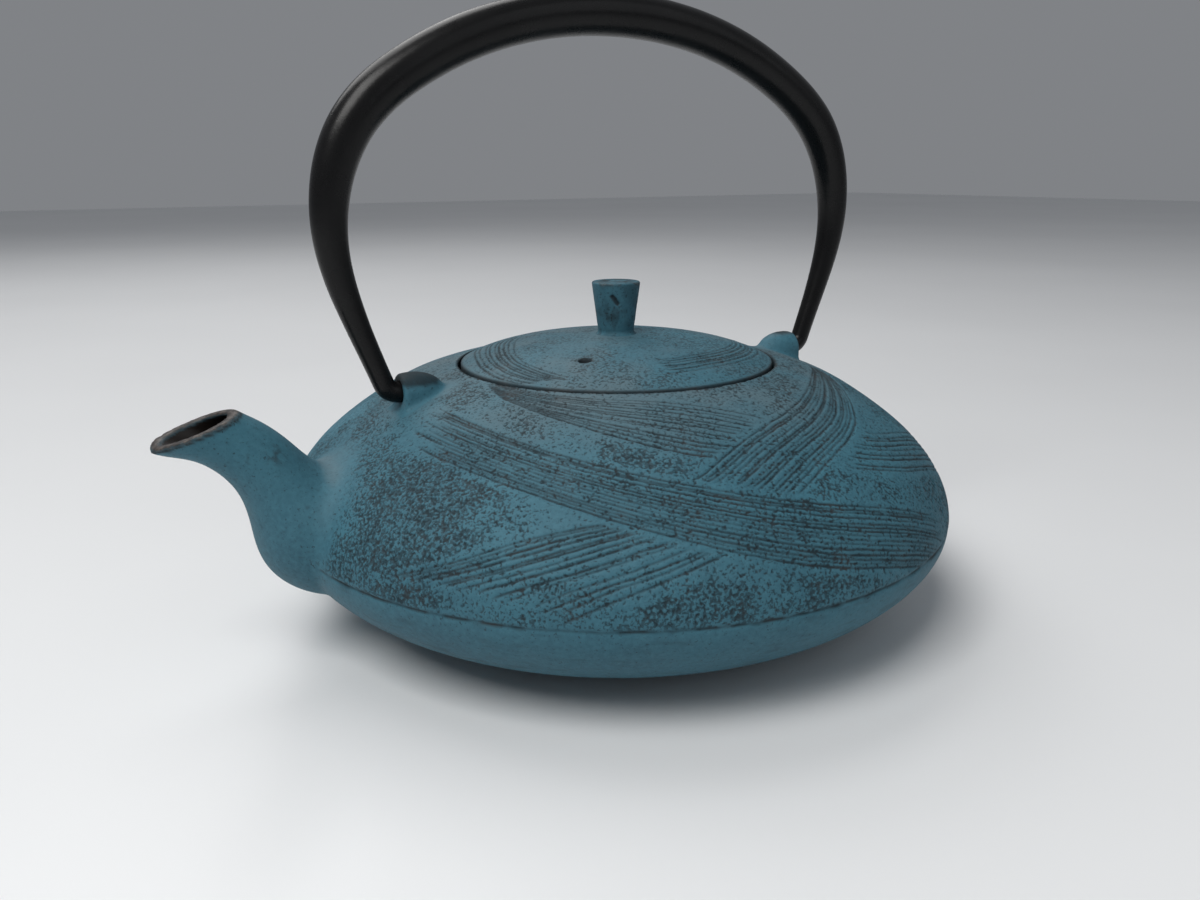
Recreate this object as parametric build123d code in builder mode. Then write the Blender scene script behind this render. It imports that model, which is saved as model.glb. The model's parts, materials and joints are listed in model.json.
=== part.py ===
from build123d import *
from math import cos, radians, sin
import os

# A flat, round cast-iron teapot with an infuser basket. Millimetres.
# The origin is the centre of the base on the pot's axis, +Z is up and the spout points along -X.
# The bail handle stands in the XZ plane and turns about a line along X through the two lugs.

os.makedirs("parts", exist_ok=True)

# Pot shell: its outer line runs up from the foot to the belt, then in to the mouth
WALL = 3.0
BELT_R, BELT_Z = 83.3, 25.0
FOOT_R, FOOT_H = 44.0, 1.2
MOUTH_R, MOUTH_Z = 40.0, 60.0
UNDERSIDE = [(FOOT_R, FOOT_H), (60.0, 4.2), (76.8, 13.3), (BELT_R, BELT_Z)]
UNDERSIDE_SLOPES = [(1, 0.1), (0, 1)]
SHOULDER = [(BELT_R, BELT_Z), (77.5, 38.7), (65.7, 48.9), (53.7, 55.9), (MOUTH_R, MOUTH_Z)]
SHOULDER_SLOPES = [(0, 1), (-1, 0.24)]
UNDERSIDE_STEPS = (0.3, 0.55, 0.8)
SHOULDER_STEPS = (0.2, 0.4, 0.6, 0.8)
NECK_R, NECK_BOTTOM_Z = 43.0, 52.5
SEAT_Z = 56.4
THROAT_R = 36.2

# Spout: each station is centre x, centre z, half width across Y, half height, rise in degrees
SPOUT_STATIONS = [
    (-60.0, 29.0, 17.4, 15.4, 0.0),
    (-70.0, 28.6, 17.0, 15.1, 3.0),
    (-77.6, 29.2, 15.8, 14.6, 14.0),
    (-83.2, 33.3, 13.6, 12.8, 31.5),
    (-86.0, 39.1, 10.9, 10.0, 38.5),
    (-88.8, 45.0, 8.9, 8.1, 37.5),
    (-92.7, 49.8, 7.6, 7.0, 37.0),
    (-97.5, 53.5, 6.9, 6.7, 42.0),
    (-105.4, 58.1, 7.0, 8.1, 39.5),
]
SPOUT_WALL = 2.0
SPOUT_ROOT_WALL = 3.0
SPOUT_ROOT_STATIONS = 4
SPOUT_BACK = (-92.9, 58.4)
SPOUT_TIP = (-110.2, 52.9)

# Handle lugs, egg-shaped knobs cut flat on the outside, and the hinge line of the handle
HINGE_Z = 58.1
LUG_FACE_X = 57.4
LUG_CENTRE_X = 54.6
LUG_HALF_LENGTH = 7.8
LUG_HALF_W = 4.7
LUG_DOME_Z = 57.7
LUG_ROOT_Z = 50.0
HOOK_HOLE_R = 2.46
HOOK_HOLE_DEPTH = 5.6

# Bail handle
HOOK_R = 2.4
HOOK_END_GAP = 0.4
ELBOW_X = 57.6
ELBOW_R = 3.6
ELBOW_TURN = 70.0
BAIL_TOP_Z = 141.0
BAIL_TOP_R = 4.85
BAIL_SHOULDER = [(66.8, 76.5), (70.3, 93.0), (63.7, 116.2), (50.0, 127.8), (30.0, 136.7)]
BAIL_THICK_FROM = 0.25
BAIL_SECTIONS = 17

# Lid
LID_R = 39.3
LID_EDGE_Z = 60.2
LID_REST_Z = 57.0
LID_TOP_Z = 66.6
LID_THICKNESS = 3.0
LID_SKIRT_R, LID_SKIRT_INNER_R = 33.2, 31.0
LID_SKIRT_BOTTOM_Z = 49.5
KNOB_SPOT_R = 5.6
LID_DOME = [(KNOB_SPOT_R, LID_TOP_Z), (20.0, 65.5), (32.4, 63.0), (LID_R, LID_EDGE_Z)]
LID_DOME_SLOPES = [(1, -0.02), (1, -0.55)]
VENT_R = 1.5
VENT_X, VENT_Y = -19.0, -18.0

# Knob with its rivet and washer
KNOB_FOOT_R, KNOB_WAIST_R, KNOB_RIM_R = 5.2, 4.5, 6.05
KNOB_WAIST_Z, KNOB_RIM_Z, KNOB_DOME_H = 67.7, 79.3, 0.6
KNOB_TOP_Z = KNOB_RIM_Z + KNOB_DOME_H
KNOB_FOOT_BEND = (4.7, 67.1)
KNOB_BORE_TOP_Z = 74.0
RIVET_R = 2.0
RIVET_HOLE_R = 2.1
RIVET_HEAD_R, RIVET_HEAD_H = 3.3, 1.5
WASHER_R, WASHER_H = 4.8, 1.0

# Infuser basket
COLLAR_SHEET = 0.6
COLLAR_FLANGE_R = 39.2
COLLAR_OUTER_R = 35.5
COLLAR_BOTTOM_Z = 50.0
MESH_SHEET = 0.4
BAND_SHEET = 0.4
BAND_BOTTOM_Z = 50.5
BASKET_BOTTOM_Z = 12.0
BASE_RING_H = 4.5
BASE_LIP = 3.0


def ring(outer_r, inner_r, bottom_z, top_z):
    """A plain ring about the pot's axis, added to the open part."""
    with BuildSketch(Plane.XY.offset(bottom_z)) as section:
        Circle(outer_r)
        Circle(inner_r, mode=Mode.SUBTRACT)
    extrude(section.sketch, amount=top_z - bottom_z)


def dome_radius(rim_r, height):
    """The radius of the ball that a dome of this rim and height is cut from."""
    return (rim_r**2 + height**2) / (2 * height)


def inset(edge, fraction):
    """The point on the inside of the wall, square to the pot's outer line."""
    along = edge % fraction
    return edge @ fraction + WALL * Vector(-along.Y, along.X)


def spout_sections(walls):
    """Ellipses square to the spout's centre line, each smaller than the outside by its wall."""
    sections = []
    for (x, z, half_w, half_h, rise), wall in zip(SPOUT_STATIONS, walls):
        along = (-cos(radians(rise)), 0, sin(radians(rise)))
        with BuildSketch(Plane(origin=(x, 0, z), x_dir=(0, 1, 0), z_dir=along)) as section:
            Ellipse(half_w - wall, half_h - wall)
        sections.append(section.sketch)
    return sections


# The pot's outer line, from the centre of the base round the belt and back to the axis
with BuildLine() as shell_outline:
    Line((0, 0), (FOOT_R, 0))
    Line((FOOT_R, 0), (FOOT_R, FOOT_H))
    underside = Spline(*UNDERSIDE, tangents=UNDERSIDE_SLOPES)
    shoulder = Spline(*SHOULDER, tangents=SHOULDER_SLOPES)
    Line((MOUTH_R, MOUTH_Z), (0, MOUTH_Z))
    Line((0, MOUTH_Z), (0, 0))

with BuildLine() as cavity_outline:
    floor_end = (FOOT_R - WALL, WALL)
    neck_start = inset(shoulder, 1)
    Line((0, WALL), floor_end)
    Spline(
        floor_end, *[inset(underside, step) for step in UNDERSIDE_STEPS], inset(underside, 1),
        tangents=[(1, 0), (0, 1)],
    )
    Spline(
        inset(shoulder, 0), *[inset(shoulder, step) for step in SHOULDER_STEPS], neck_start,
        tangents=SHOULDER_SLOPES,
    )
    Line(neck_start, (0, neck_start.Y))
    Line((0, neck_start.Y), (0, WALL))

# Pot body: one casting with its spout and lugs
with BuildPart() as pot_body:
    with BuildSketch(Plane.XZ):
        make_face(shell_outline.edges())
    revolve(axis=Axis.Z)

    loft(spout_sections([0] * len(SPOUT_STATIONS)))
    cut_x, cut_z = SPOUT_TIP[0] - SPOUT_BACK[0], SPOUT_TIP[1] - SPOUT_BACK[1]
    mouth_plane = Plane(
        origin=(SPOUT_BACK[0], 0, SPOUT_BACK[1]), x_dir=(0, 1, 0), z_dir=(cut_z, 0, -cut_x)
    )
    split(bisect_by=mouth_plane, keep=Keep.BOTTOM)

    for side in (-1, 1):
        beyond_face = (side * (LUG_FACE_X + LUG_HALF_LENGTH), LUG_DOME_Z)
        with BuildSketch(Plane.XY.offset(LUG_ROOT_Z)):
            with Locations((side * LUG_CENTRE_X, 0)):
                Ellipse(LUG_HALF_LENGTH, LUG_HALF_W)
            with Locations((beyond_face[0], 0)):
                Rectangle(2 * LUG_HALF_LENGTH, 4 * LUG_HALF_W, mode=Mode.SUBTRACT)
        extrude(amount=LUG_DOME_Z - LUG_ROOT_Z)
        with BuildSketch(Plane.XZ):
            with Locations((side * LUG_CENTRE_X, LUG_DOME_Z)):
                Ellipse(LUG_HALF_LENGTH, LUG_HALF_W)
            with Locations(beyond_face):
                Rectangle(2 * LUG_HALF_LENGTH, 4 * LUG_HALF_W, mode=Mode.SUBTRACT)
            with Locations((side * LUG_CENTRE_X, LUG_DOME_Z - LUG_HALF_W)):
                Rectangle(4 * LUG_HALF_LENGTH, 2 * LUG_HALF_W, mode=Mode.SUBTRACT)
        revolve(axis=Axis((0, 0, LUG_DOME_Z), (1, 0, 0)))

    with BuildSketch(Plane.XZ):
        make_face(cavity_outline.edges())
    revolve(axis=Axis.Z, mode=Mode.SUBTRACT)

    thin_stations = len(SPOUT_STATIONS) - SPOUT_ROOT_STATIONS
    bore_walls = [SPOUT_ROOT_WALL] * SPOUT_ROOT_STATIONS + [SPOUT_WALL] * thin_stations
    loft(spout_sections(bore_walls), mode=Mode.SUBTRACT)

    ring(NECK_R, THROAT_R, NECK_BOTTOM_Z, SEAT_Z)
    with BuildSketch(Plane.XY.offset(SEAT_Z)):
        Circle(MOUTH_R)
    extrude(amount=MOUTH_Z - SEAT_Z, mode=Mode.SUBTRACT)
    with BuildSketch(Plane.XY.offset(NECK_BOTTOM_Z)):
        Circle(THROAT_R)
    extrude(amount=MOUTH_Z - NECK_BOTTOM_Z, mode=Mode.SUBTRACT)

    for side in (-1, 1):
        with BuildSketch(Plane.YZ.offset(side * LUG_FACE_X)):
            with Locations((0, HINGE_Z)):
                Circle(HOOK_HOLE_R)
        extrude(amount=-side * HOOK_HOLE_DEPTH, mode=Mode.SUBTRACT)
pot_body.part.label = "pot_body"
export_step(pot_body.part, "parts/pot_body.step")


# Bail handle: a straight hook pin and an elbow at each end, joined by a bar that thickens upwards
elbow_end = (
    ELBOW_X + ELBOW_R * sin(radians(ELBOW_TURN)),
    HINGE_Z + ELBOW_R * (1 - cos(radians(ELBOW_TURN))),
)
leg_out, leg_up = cos(radians(ELBOW_TURN)), sin(radians(ELBOW_TURN))
right_points = [elbow_end] + BAIL_SHOULDER
left_points = [(-x, z) for x, z in reversed(right_points)]
with BuildLine(Plane.XZ) as bail_line:
    Spline(
        *right_points, (0, BAIL_TOP_Z), *left_points,
        tangents=[(leg_out, leg_up), (leg_out, -leg_up)],
    )


def bail_radius(along):
    """Bar radius at a fraction of its length: thin at both ends, full over the arch."""
    rise = min(1.0, min(along, 1 - along) / BAIL_THICK_FROM)
    return HOOK_R + (BAIL_TOP_R - HOOK_R) * rise * rise * (3 - 2 * rise)


bail_path = bail_line.wires()[0]
bail_sections = []
for i in range(BAIL_SECTIONS):
    along = i / (BAIL_SECTIONS - 1)
    across = Plane(origin=bail_path @ along, x_dir=(0, 1, 0), z_dir=bail_path % along)
    with BuildSketch(across) as bar_section:
        Circle(bail_radius(along))
    bail_sections.append(bar_section.sketch)

with BuildPart() as bail_handle:
    sweep(bail_sections, path=bail_path, multisection=True)
    for side in (-1, 1):
        pin_end_x = LUG_FACE_X - HOOK_HOLE_DEPTH + HOOK_END_GAP
        with BuildSketch(Plane.YZ.offset(side * pin_end_x)):
            with Locations((0, HINGE_Z)):
                Circle(HOOK_R)
        extrude(amount=side * (ELBOW_X - pin_end_x))
        with BuildSketch(Plane.YZ.offset(side * ELBOW_X)):
            with Locations((0, HINGE_Z)):
                Circle(HOOK_R)
        elbow_axis = Axis((side * ELBOW_X, 0, HINGE_Z + ELBOW_R), (0, -side, 0))
        revolve(axis=elbow_axis, revolution_arc=ELBOW_TURN)
bail_handle.part.label = "bail_handle"
export_step(bail_handle.part, "parts/bail_handle.step")


# Lid: a domed disc that lies on the basket's collar, hollow inside the skirt that centres it
with BuildPart() as lid:
    with BuildSketch(Plane.XZ):
        with BuildLine():
            Line((0, LID_TOP_Z), (KNOB_SPOT_R, LID_TOP_Z))
            Spline(*LID_DOME, tangents=LID_DOME_SLOPES)
            Line((LID_R, LID_EDGE_Z), (LID_R, LID_REST_Z))
            Line((LID_R, LID_REST_Z), (0, LID_REST_Z))
            Line((0, LID_REST_Z), (0, LID_TOP_Z))
        make_face()
    revolve(axis=Axis.Z)
    with BuildSketch(Plane.XZ):
        with BuildLine():
            Line((0, LID_TOP_Z - LID_THICKNESS), (KNOB_SPOT_R, LID_TOP_Z - LID_THICKNESS))
            Spline(*[(r, z - LID_THICKNESS) for r, z in LID_DOME], tangents=LID_DOME_SLOPES)
            Line((LID_R, LID_EDGE_Z - LID_THICKNESS), (LID_R, LID_SKIRT_BOTTOM_Z))
            Line((LID_R, LID_SKIRT_BOTTOM_Z), (0, LID_SKIRT_BOTTOM_Z))
            Line((0, LID_SKIRT_BOTTOM_Z), (0, LID_TOP_Z - LID_THICKNESS))
        make_face()
        with Locations((LID_SKIRT_INNER_R, 0)):
            Rectangle(LID_R, LID_TOP_Z, align=(Align.MIN, Align.MIN), mode=Mode.SUBTRACT)
    revolve(axis=Axis.Z, mode=Mode.SUBTRACT)
    ring(LID_SKIRT_R, LID_SKIRT_INNER_R, LID_SKIRT_BOTTOM_Z, LID_REST_Z)
    with BuildSketch(Plane.XY.offset(LID_SKIRT_BOTTOM_Z)):
        Circle(RIVET_HOLE_R)
        with Locations((VENT_X, VENT_Y)):
            Circle(VENT_R)
    extrude(amount=LID_TOP_Z - LID_SKIRT_BOTTOM_Z, mode=Mode.SUBTRACT)
lid.part.label = "lid"
export_step(lid.part, "parts/lid.step")


# Knob: a short cone that widens upwards, hollow for its rivet
with BuildPart() as lid_knob:
    with BuildSketch(Plane.XZ):
        with BuildLine():
            Line((RIVET_R, LID_TOP_Z), (KNOB_FOOT_R, LID_TOP_Z))
            ThreePointArc((KNOB_FOOT_R, LID_TOP_Z), KNOB_FOOT_BEND, (KNOB_WAIST_R, KNOB_WAIST_Z))
            Line((KNOB_WAIST_R, KNOB_WAIST_Z), (KNOB_RIM_R, KNOB_RIM_Z))
            RadiusArc((KNOB_RIM_R, KNOB_RIM_Z), (0, KNOB_TOP_Z), -dome_radius(KNOB_RIM_R, KNOB_DOME_H))
            Line((0, KNOB_TOP_Z), (0, KNOB_BORE_TOP_Z))
            Line((0, KNOB_BORE_TOP_Z), (RIVET_R, KNOB_BORE_TOP_Z))
            Line((RIVET_R, KNOB_BORE_TOP_Z), (RIVET_R, LID_TOP_Z))
        make_face()
    revolve(axis=Axis.Z)
lid_knob.part.label = "lid_knob"
export_step(lid_knob.part, "parts/lid_knob.step")

washer_top_z = LID_TOP_Z - LID_THICKNESS
washer_bottom_z = washer_top_z - WASHER_H
head_bottom_z = washer_bottom_z - RIVET_HEAD_H

with BuildPart() as knob_washer:
    ring(WASHER_R, RIVET_HOLE_R, washer_bottom_z, washer_top_z)
knob_washer.part.label = "knob_washer"
export_step(knob_washer.part, "parts/knob_washer.step")

with BuildPart() as knob_rivet:
    with BuildSketch(Plane.XZ):
        with BuildLine():
            Line((0, KNOB_BORE_TOP_Z), (RIVET_R, KNOB_BORE_TOP_Z))
            Line((RIVET_R, KNOB_BORE_TOP_Z), (RIVET_R, washer_bottom_z))
            Line((RIVET_R, washer_bottom_z), (RIVET_HEAD_R, washer_bottom_z))
            RadiusArc(
                (RIVET_HEAD_R, washer_bottom_z), (0, head_bottom_z),
                dome_radius(RIVET_HEAD_R, RIVET_HEAD_H),
            )
            Line((0, head_bottom_z), (0, KNOB_BORE_TOP_Z))
        make_face()
    revolve(axis=Axis.Z)
knob_rivet.part.label = "knob_rivet"
export_step(knob_rivet.part, "parts/knob_rivet.step")


# Infuser basket, from the outside in: collar, mesh wall, clamp band, then the base
mesh_r = COLLAR_OUTER_R - COLLAR_SHEET
mesh_inner_r = mesh_r - MESH_SHEET
band_inner_r = mesh_inner_r - BAND_SHEET

with BuildPart() as infuser_collar:
    ring(COLLAR_FLANGE_R, mesh_r, SEAT_Z, LID_REST_Z)
    ring(COLLAR_OUTER_R, mesh_r, COLLAR_BOTTOM_Z, SEAT_Z)
infuser_collar.part.label = "infuser_collar"
export_step(infuser_collar.part, "parts/infuser_collar.step")

with BuildPart() as infuser_wall_mesh:
    ring(mesh_r, mesh_inner_r, BASKET_BOTTOM_Z + BAND_SHEET, SEAT_Z)
infuser_wall_mesh.part.label = "infuser_wall_mesh"
export_step(infuser_wall_mesh.part, "parts/infuser_wall_mesh.step")

with BuildPart() as infuser_clamp_band:
    ring(mesh_inner_r, band_inner_r, BAND_BOTTOM_Z, SEAT_Z)
infuser_clamp_band.part.label = "infuser_clamp_band"
export_step(infuser_clamp_band.part, "parts/infuser_clamp_band.step")

with BuildPart() as infuser_base_ring:
    ring(mesh_r + BAND_SHEET, mesh_r, BASKET_BOTTOM_Z, BASKET_BOTTOM_Z + BASE_RING_H)
    ring(mesh_r, mesh_r - BASE_LIP, BASKET_BOTTOM_Z, BASKET_BOTTOM_Z + BAND_SHEET)
infuser_base_ring.part.label = "infuser_base_ring"
export_step(infuser_base_ring.part, "parts/infuser_base_ring.step")

with BuildPart() as infuser_base_mesh:
    with BuildSketch(Plane.XY.offset(BASKET_BOTTOM_Z + BAND_SHEET)):
        Circle(mesh_inner_r)
    extrude(amount=MESH_SHEET)
infuser_base_mesh.part.label = "infuser_base_mesh"
export_step(infuser_base_mesh.part, "parts/infuser_base_mesh.step")
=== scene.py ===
import json
import math

import bpy
import numpy as np
import openvdb
from mathutils import Matrix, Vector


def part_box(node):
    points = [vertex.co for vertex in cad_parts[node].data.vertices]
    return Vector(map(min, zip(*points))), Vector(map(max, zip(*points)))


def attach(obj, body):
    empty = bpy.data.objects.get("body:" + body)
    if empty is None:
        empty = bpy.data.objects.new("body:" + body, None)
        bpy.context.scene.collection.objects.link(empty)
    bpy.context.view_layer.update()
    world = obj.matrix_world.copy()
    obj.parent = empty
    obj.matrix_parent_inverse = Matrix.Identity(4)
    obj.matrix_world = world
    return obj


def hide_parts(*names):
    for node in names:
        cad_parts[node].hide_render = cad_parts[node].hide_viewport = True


# A low round cast-iron teapot. Shapes are worked out in millimetres in the part's frame and
# become metres only in new_piece. The pot and the lid are castings: each is one implicit
# solid, meshed, then carved with the brush strokes and the grain of the mould.

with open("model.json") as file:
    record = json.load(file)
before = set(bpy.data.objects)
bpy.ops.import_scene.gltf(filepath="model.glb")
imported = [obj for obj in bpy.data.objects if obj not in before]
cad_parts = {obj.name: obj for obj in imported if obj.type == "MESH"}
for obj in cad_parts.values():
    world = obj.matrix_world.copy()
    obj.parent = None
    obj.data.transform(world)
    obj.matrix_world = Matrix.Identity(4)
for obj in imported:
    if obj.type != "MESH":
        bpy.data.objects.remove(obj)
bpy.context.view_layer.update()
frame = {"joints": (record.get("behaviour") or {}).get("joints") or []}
MM = 0.001
SEED = 7


def node_box(name):
    """A CAD node's lowest and highest corners, in millimetres."""
    low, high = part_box(name)
    return np.array(low) / MM, np.array(high) / MM


# ---------------------------------------------------------------- sizes from the frame
HINGE_Z = next(j["pos_m"][2] for j in frame["joints"] if j["name"] == "handle_fold") / MM
LID_LOW, LID_HIGH = node_box("lid")
KNOB_LOW, KNOB_HIGH = node_box("lid_knob")
COLLAR_LOW, COLLAR_HIGH = node_box("infuser_collar")
MESH_LOW, MESH_HIGH = node_box("infuser_wall_mesh")
BAND_LOW, BAND_HIGH = node_box("infuser_clamp_band")
BASE_RING_LOW, BASE_RING_HIGH = node_box("infuser_base_ring")
BASE_MESH_LOW, BASE_MESH_HIGH = node_box("infuser_base_mesh")
WASHER_LOW, WASHER_HIGH = node_box("knob_washer")
RIVET_LOW, RIVET_HIGH = node_box("knob_rivet")

# Pot shell
WALL = 3.0
BELT_R = node_box("pot_body")[1][0]
BELT_Z = 25.0
FOOT_R, FOOT_H = 44.0, 1.2
MOUTH_R, MOUTH_Z = 40.0, 60.0
NECK_R, NECK_BOTTOM_Z, NECK_BELOW_MOUTH = 43.0, 52.5, 3.0
SEAT_Z = COLLAR_LOW[2] + 6.4
THROAT_R = 36.2
LID_R = LID_HIGH[0]
LID_TOP_Z = LID_HIGH[2]


# ---------------------------------------------------------------- camera, lights, floor
CAMERA_AT = np.array([-126.2, -210.4, 106.8])
CAMERA_YAW, CAMERA_PITCH, CAMERA_ROLL = map(math.radians, (29.98, 16.14, -0.28))
SENSOR_MM = 36.0
LENS_MM = 29.25


def add_camera():
    forward = np.array([
        math.sin(CAMERA_YAW) * math.cos(CAMERA_PITCH),
        math.cos(CAMERA_YAW) * math.cos(CAMERA_PITCH),
        -math.sin(CAMERA_PITCH),
    ])
    level = np.array([math.cos(CAMERA_YAW), -math.sin(CAMERA_YAW), 0.0])
    upright = np.cross(level, forward)
    right = level * math.cos(CAMERA_ROLL) + upright * math.sin(CAMERA_ROLL)
    up = upright * math.cos(CAMERA_ROLL) - level * math.sin(CAMERA_ROLL)
    data = bpy.data.cameras.new("camera")
    data.sensor_width = SENSOR_MM
    data.lens = LENS_MM
    data.clip_start = 0.01
    camera = bpy.data.objects.new("camera", data)
    turned = Matrix([list(row) for row in np.array([right, up, -forward]).T]).to_4x4()
    camera.matrix_world = Matrix.Translation(CAMERA_AT * MM) @ turned
    bpy.context.scene.collection.objects.link(camera)
    bpy.context.scene.camera = camera
    bpy.context.scene.view_settings.view_transform = "Standard"


def add_area_light(name, at, towards, size, power, colour=(1, 1, 1)):
    """A square soft light. at and towards are in metres."""
    data = bpy.data.lights.new(name, "AREA")
    data.shape = "SQUARE"
    data.size = size
    data.energy = power
    data.color = colour
    light = bpy.data.objects.new(name, data)
    direction = np.array(towards, float) - np.array(at, float)
    direction /= np.linalg.norm(direction)
    side = np.cross(direction, (0, 0, 1))
    side /= np.linalg.norm(side)
    above = np.cross(side, direction)
    turned = Matrix([list(row) for row in np.array([side, above, -direction]).T]).to_4x4()
    light.matrix_world = Matrix.Translation(at) @ turned
    bpy.context.scene.collection.objects.link(light)


def add_studio():
    world = bpy.data.worlds.new("studio")
    world.use_nodes = True
    background = world.node_tree.nodes["Background"]
    background.inputs["Color"].default_value = (0.80, 0.83, 0.88, 1)
    background.inputs["Strength"].default_value = 0.27
    bpy.context.scene.world = world
    add_area_light("key", (-0.60, -0.30, 0.95), (0, 0, 0.04), 0.6, 9.4, (1.0, 0.99, 0.97))
    add_area_light("fill", (0.5, -0.9, 0.7), (0, 0, 0.04), 0.9, 1.2, (0.96, 0.98, 1.0))
    add_area_light("back", (-0.1, 0.7, 1.0), (0, 0, 0.05), 0.9, 6.6, (1.0, 0.99, 0.98))
    bpy.ops.mesh.primitive_plane_add(size=6.0, location=(0, 0, 0))
    floor = bpy.context.object
    floor.name = "floor"
    floor.data.materials.append(floor_material())


# ---------------------------------------------------------------- material helpers
class Shader:
    """A new node material with a Principled surface, and short calls for its nodes."""

    def __init__(self, name):
        self.material = bpy.data.materials.new(name)
        self.material.use_nodes = True
        self.tree = self.material.node_tree
        self.surface = self.tree.nodes["Principled BSDF"]

    def add(self, kind, inputs=None, **settings):
        made = self.tree.nodes.new("ShaderNode" + kind)
        for key, value in settings.items():
            setattr(made, key, value)
        for key, value in (inputs or {}).items():
            self.feed(made.inputs[key], value)
        return made

    def feed(self, socket, value):
        if isinstance(value, bpy.types.NodeSocket):
            self.tree.links.new(value, socket)
        else:
            socket.default_value = value

    def noise(self, scale, detail=4.0, rough=0.55, at=None):
        """Noise by the point's place in metres, scale in features per metre."""
        vector = at or self.add("TexCoord").outputs["Object"]
        inputs = {"Vector": vector, "Scale": scale, "Detail": detail, "Roughness": rough}
        return self.add("TexNoise", inputs, noise_type="FBM").outputs["Fac"]

    def ramp(self, value, stops):
        """A colour ramp. stops is a list of (place, grey or colour)."""
        made = self.add("ValToRGB", {"Fac": value})
        points = made.color_ramp.elements
        while len(points) < len(stops):
            points.new(0.5)
        for point, (place, colour) in zip(points, stops):
            point.position = place
            rgb = (colour,) * 3 if isinstance(colour, (int, float)) else colour
            point.color = (*rgb, 1)
        return made.outputs["Color"]

    def attribute(self, name):
        return self.add("Attribute", attribute_name=name).outputs["Fac"]

    def maths(self, operation, a, b):
        made = self.add("Math", operation=operation)
        self.feed(made.inputs[0], a)
        self.feed(made.inputs[1], b)
        return made.outputs[0]

    def mix(self, factor, a, b):
        made = self.add("Mix", data_type="RGBA")
        self.feed(made.inputs["Factor"], factor)
        for socket, value in ((made.inputs[6], a), (made.inputs[7], b)):
            self.feed(socket, value if isinstance(value, bpy.types.NodeSocket) else (*value, 1))
        return made.outputs[2]

    def bump(self, height, distance, strength=1.0, normal=None):
        inputs = {"Height": height, "Distance": distance, "Strength": strength}
        if normal:
            inputs["Normal"] = normal
        return self.add("Bump", inputs).outputs["Normal"]

    def set(self, **inputs):
        for key, value in inputs.items():
            self.feed(self.surface.inputs[key.replace("_", " ")], value)
        return self.material


def floor_material():
    s = Shader("pale_floor")
    shade = s.ramp(s.noise(3.0, 3), [(0.35, (0.72, 0.73, 0.74)), (0.65, (0.75, 0.76, 0.77))])
    return s.set(Base_Color=shade, Roughness=0.32, Specular_IOR_Level=0.35)


PATINA = (0.036, 0.136, 0.186)
PATINA_DEEP = (0.026, 0.098, 0.138)
PATINA_LIGHT = (0.052, 0.172, 0.228)
# Greyer patina: settled dust, and painted sheen of upward faces seen at a grazing angle.
PATINA_DUST_AND_SHEEN = (0.082, 0.135, 0.160)
IRON_DARK = (0.008, 0.016, 0.021)
IRON_BROWN = (0.024, 0.022, 0.022)
IRON_WORN_LOW = (0.018, 0.015, 0.014)
IRON_WORN_HIGH = (0.095, 0.078, 0.068)
ENAMEL = (0.011, 0.0085, 0.0075)


def patina_material():
    """Blue-green patina brushed over black iron. The mesh says where the low places are (dark),
    where the iron is worn bare (bare), where the patina is greyer from real dust and from painted
    sheen on upward faces (the dust and sheen attribute), how thick the fine grain lies (stipple) and
    which faces are enamelled (enamel)."""
    s = Shader("patina_iron")
    low = s.attribute("dark")
    bare = s.attribute("bare")
    dust_and_sheen = s.attribute("dust_and_sheen")
    enamel = s.attribute("enamel")
    cloud = s.noise(38.0, 5, 0.6)
    fine = s.noise(900.0, 3, 0.6)
    base = s.mix(s.ramp(cloud, [(0.35, 0.0), (0.68, 1.0)]), PATINA_DEEP, PATINA)
    base = s.mix(s.ramp(fine, [(0.35, 0.0), (0.75, 0.6)]), base, PATINA_LIGHT)
    # Greyer where the mesh marks dust, which also paints the sheen of upward faces.
    base = s.mix(s.maths("MULTIPLY", dust_and_sheen, s.ramp(s.noise(60.0, 4), [(0.3, 0.3), (0.7, 1.0)])),
                 base, PATINA_DUST_AND_SHEEN)
    specks = s.ramp(s.noise(1700.0, 2, 0.5), [(0.60, 0.0), (0.72, 0.35)])
    base = s.mix(specks, base, IRON_DARK)
    grit = s.noise(1500.0, 2, 0.5)
    pitted = s.ramp(s.maths("ADD", grit, s.maths("MULTIPLY", s.attribute("stipple"), 0.20)),
                    [(0.64, 0.0), (0.73, 0.62)])
    base = s.mix(pitted, base, IRON_DARK)
    deep = s.mix(s.ramp(s.noise(150.0, 3), [(0.45, 0.0), (0.70, 1.0)]), IRON_DARK, IRON_BROWN)
    edge = s.maths("ADD", low, s.maths("MULTIPLY", s.maths("SUBTRACT", fine, 0.5), 0.30))
    base = s.mix(s.ramp(edge, [(0.10, 0.0), (0.85, 0.90)]), base, deep)
    worn = s.mix(s.ramp(s.noise(800.0, 4), [(0.42, 0.0), (0.72, 1.0)]),
                 IRON_WORN_LOW, IRON_WORN_HIGH)
    base = s.mix(bare, base, worn)
    base = s.mix(enamel, base, ENAMEL)
    rough = s.mix(bare, (0.64, 0.64, 0.64), (0.42, 0.42, 0.42))
    rough = s.mix(s.ramp(low, [(0.2, 0.0), (0.8, 1.0)]), rough, (0.80, 0.80, 0.80))
    rough = s.mix(enamel, rough, (0.30, 0.30, 0.30))
    tiny = s.bump(s.noise(1500.0, 3, 0.6), 0.00012, 0.6)
    tiny = s.bump(s.maths("SUBTRACT", 1.0, pitted), 0.00010, 0.5, normal=tiny)
    return s.set(Base_Color=base, Roughness=rough, Normal=tiny, Specular_IOR_Level=0.30)


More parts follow.
